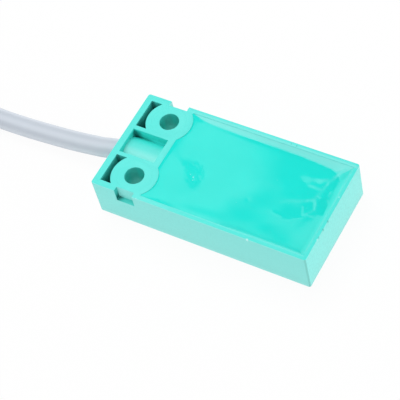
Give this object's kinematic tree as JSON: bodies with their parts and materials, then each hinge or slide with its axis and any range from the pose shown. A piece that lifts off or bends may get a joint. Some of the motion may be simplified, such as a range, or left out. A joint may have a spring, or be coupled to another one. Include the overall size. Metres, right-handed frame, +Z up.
{
  "type": "proximity sensor",
  "caption": "Flat rectangular proximity sensor: resin-potted plastic housing with screw holes and clip notches at the cable end, coil and board inside, and a free cable tied in a hank.",
  "frame": {"origin": "centre of the sensing face, on the floor on which the housing lies", "axes": "+X along the housing towards the sensing end, away from the cable; +Z up from the sensing face to the potted back"},
  "size_m": [0.1681, 0.0411, 0.0247],
  "materials": {
    "housing_plastic": "fine matt moulding",
    "resin": "glossy cast resin",
    "board": "solder mask",
    "ferrite": "sintered, matt",
    "bobbin_plastic": "moulded",
    "enamelled_copper": "clear enamel",
    "chip_plastic": "moulded, matt",
    "capacitor_ceramic": "fired ceramic",
    "resistor_ceramic": "glazed ceramic",
    "solder": "tin, satin",
    "jacket": "smooth flexible jacket",
    "brown_insulation": "smooth extrusion",
    "blue_insulation": "smooth extrusion",
    "black_insulation": "smooth extrusion",
    "tie_nylon": "natural nylon"
  },
  "bodies": {
    "root": {"housing": "housing_plastic", "potting_resin": "resin", "circuit_board": "board", "ferrite_core": "ferrite", "coil_bobbin": "bobbin_plastic", "coil_winding": "enamelled_copper", "coil_lead_wires": "enamelled_copper", "sensor_chip": "chip_plastic", "output_transistor": "chip_plastic", "voltage_regulator": "chip_plastic", "protection_diodes": "chip_plastic", "tuning_capacitor": "capacitor_ceramic", "chip_capacitors": "capacitor_ceramic", "chip_resistors": "resistor_ceramic", "solder_joints": "solder", "cable_jacket": "jacket", "brown_wire": "brown_insulation", "blue_wire": "blue_insulation", "black_wire": "black_insulation", "cable_lead": "jacket", "cable_hank": "jacket", "hank_tie": "tie_nylon", "brown_wire_end": "brown_insulation", "blue_wire_end": "blue_insulation", "black_wire_end": "black_insulation", "tinned_tips": "solder"}
  },
  "joints": []
}
